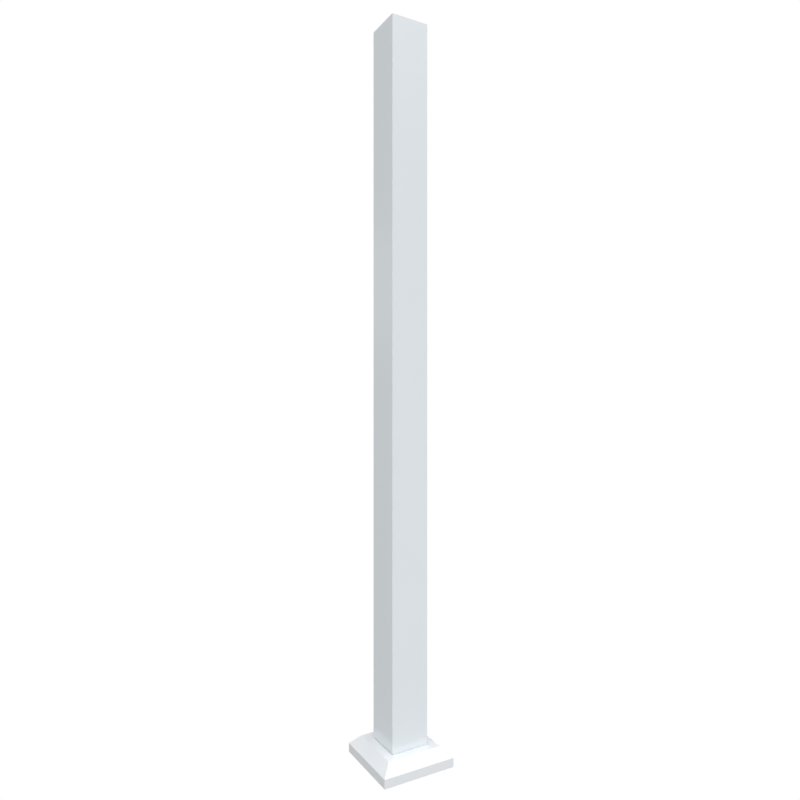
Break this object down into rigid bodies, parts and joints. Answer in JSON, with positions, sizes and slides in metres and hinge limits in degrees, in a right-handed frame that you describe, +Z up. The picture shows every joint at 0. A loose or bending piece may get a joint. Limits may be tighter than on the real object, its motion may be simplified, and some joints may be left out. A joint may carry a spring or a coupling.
{
  "type": "newel post",
  "caption": "Plain white square railing post: a slim hollow tube cut square at the top, standing on the floor inside a low bevelled base skirt.",
  "frame": {"origin": "on the floor, on the post's centre line", "axes": "+Z up along the post; X and Y square to its sides"},
  "size_m": [0.0988, 0.0988, 0.94],
  "materials": {
    "post_coating": "satin white powder coat on extruded aluminium",
    "skirt_coating": "satin white powder coat on cast aluminium"
  },
  "bodies": {
    "root": {"post": "post_coating", "base_skirt": "skirt_coating"}
  },
  "joints": []
}
